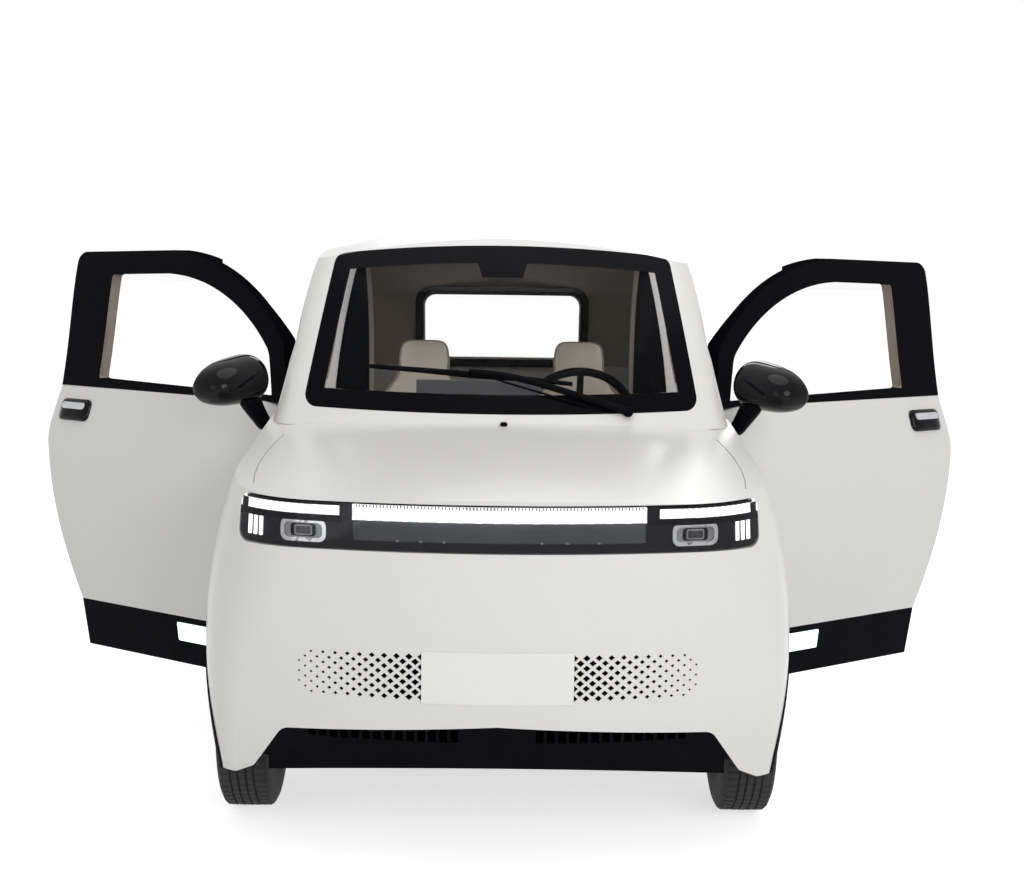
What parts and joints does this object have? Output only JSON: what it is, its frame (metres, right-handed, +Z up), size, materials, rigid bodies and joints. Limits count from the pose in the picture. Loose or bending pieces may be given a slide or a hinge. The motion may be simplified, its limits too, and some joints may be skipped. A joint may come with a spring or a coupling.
{
  "type": "enclosed mobility scooter",
  "caption": "Small four-wheel enclosed cabin vehicle with two wide side doors, a full-width front lamp bar, two seats and a steering wheel.",
  "frame": {"origin": "on the ground, below the middle of the vehicle's bounding box", "axes": "+Z up, the front faces -Y, +X is the vehicle's own left, where the driver sits"},
  "size_m": [2.9032, 2.6688, 1.546],
  "materials": {
    "body_white": "gloss",
    "black_gloss": "gloss",
    "black_trim": "satin",
    "cover_lens": "gloss",
    "light_white": "lit",
    "chrome": "polished",
    "tail_red": "gloss",
    "glass": "clear",
    "seal_rubber": "matt",
    "lining_beige": "grained",
    "seat_leather": "soft",
    "floor_grey": "matt",
    "frame_steel": "satin",
    "steel": "machined",
    "battery_case": "satin",
    "rim_silver": "painted",
    "tyre": "matt",
    "plate_white": "satin"
  },
  "bodies": {
    "body": {"arch_lips": "black_trim", "battery_box": "battery_case", "cabin_lining": "lining_beige", "cabin_shell": "body_white", "chassis_frame": "frame_steel", "dashboard": "lining_beige", "floor_tub": "floor_grey", "front_body": "body_white", "front_grilles": "body_white", "front_plate_panel": "plate_white", "front_suspension": "frame_steel", "front_valance": "black_trim", "headlamp_rings": "chrome", "hinge_posts": "frame_steel", "lamp_cover": "cover_lens", "lamp_housing": "black_gloss", "light_strips": "light_white", "pedals": "frame_steel", "rear_axle": "frame_steel", "rear_body": "body_white", "rear_plate_panel": "plate_white", "rear_springs": "steel", "rear_valance": "black_trim", "rear_window": "glass", "rear_window_seal": "seal_rubber", "seat_left": "seat_leather", "seat_right": "seat_leather", "sill_trims": "black_trim", "steering_column": "frame_steel", "steering_rack": "steel", "tail_lamp_bar": "tail_red", "wheel_liners": "black_trim", "windscreen": "glass", "windscreen_band": "black_gloss", "wiper": "black_trim"},
    "door_left": {"door_frame_left": "black_gloss", "door_glass_left": "glass", "door_handle_left": "black_gloss", "door_lining_left": "lining_beige", "door_mirror_left": "black_gloss", "door_panel_left": "body_white", "door_trim_left": "black_trim"},
    "door_right": {"door_frame_right": "black_gloss", "door_glass_right": "glass", "door_handle_right": "black_gloss", "door_lining_right": "lining_beige", "door_mirror_right": "black_gloss", "door_panel_right": "body_white", "door_trim_right": "black_trim"},
    "steering_wheel": {"steering_wheel": "black_trim"},
    "knuckle_left": {"knuckle_left": "steel"},
    "knuckle_right": {"knuckle_right": "steel"},
    "wheel_front_left": {"tyre_front_left": "tyre", "rim_front_left": "rim_silver"},
    "wheel_front_right": {"tyre_front_right": "tyre", "rim_front_right": "rim_silver"},
    "wheel_rear_left": {"tyre_rear_left": "tyre", "rim_rear_left": "rim_silver"},
    "wheel_rear_right": {"tyre_rear_right": "tyre", "rim_rear_right": "rim_silver"}
  },
  "joints": [
    {"name": "door_left_hinge", "type": "hinge", "parent": "body", "child": "door_left", "pos_m": [0.724, -0.455, 0.52], "axis": [0, 0, -1], "range_deg": [-57, 5]},
    {"name": "door_right_hinge", "type": "hinge", "parent": "body", "child": "door_right", "pos_m": [-0.724, -0.455, 0.52], "axis": [0, 0, 1], "range_deg": [-57, 5]},
    {"name": "steer_left", "type": "hinge", "parent": "body", "child": "knuckle_left", "pos_m": [0.585, -0.845, 0.255], "axis": [0, 0, 1], "range_deg": [-27, 27]},
    {"name": "steer_right", "type": "hinge", "parent": "body", "child": "knuckle_right", "pos_m": [-0.585, -0.845, 0.255], "axis": [0, 0, 1], "range_deg": [-27, 27]},
    {"name": "steering_wheel_turn", "type": "hinge", "parent": "body", "child": "steering_wheel", "pos_m": [0.245, -0.035, 0.965], "axis": [0, 0.8829, 0.4695], "range_deg": [-378, 378]},
    {"name": "wheel_front_left_spin", "type": "hinge", "parent": "knuckle_left", "child": "wheel_front_left", "pos_m": [0.65, -0.845, 0.255], "axis": [1, 0, 0], "continuous": true},
    {"name": "wheel_front_right_spin", "type": "hinge", "parent": "knuckle_right", "child": "wheel_front_right", "pos_m": [-0.65, -0.845, 0.255], "axis": [1, 0, 0], "continuous": true},
    {"name": "wheel_rear_left_spin", "type": "hinge", "parent": "body", "child": "wheel_rear_left", "pos_m": [0.65, 0.88, 0.255], "axis": [1, 0, 0], "continuous": true},
    {"name": "wheel_rear_right_spin", "type": "hinge", "parent": "body", "child": "wheel_rear_right", "pos_m": [-0.65, 0.88, 0.255], "axis": [1, 0, 0], "continuous": true}
  ],
  "couplings": [
    {"joint": "steer_right", "follows": "steer_left", "ratio": 1},
    {"joint": "steering_wheel_turn", "follows": "steer_left", "ratio": 14}
  ]
}
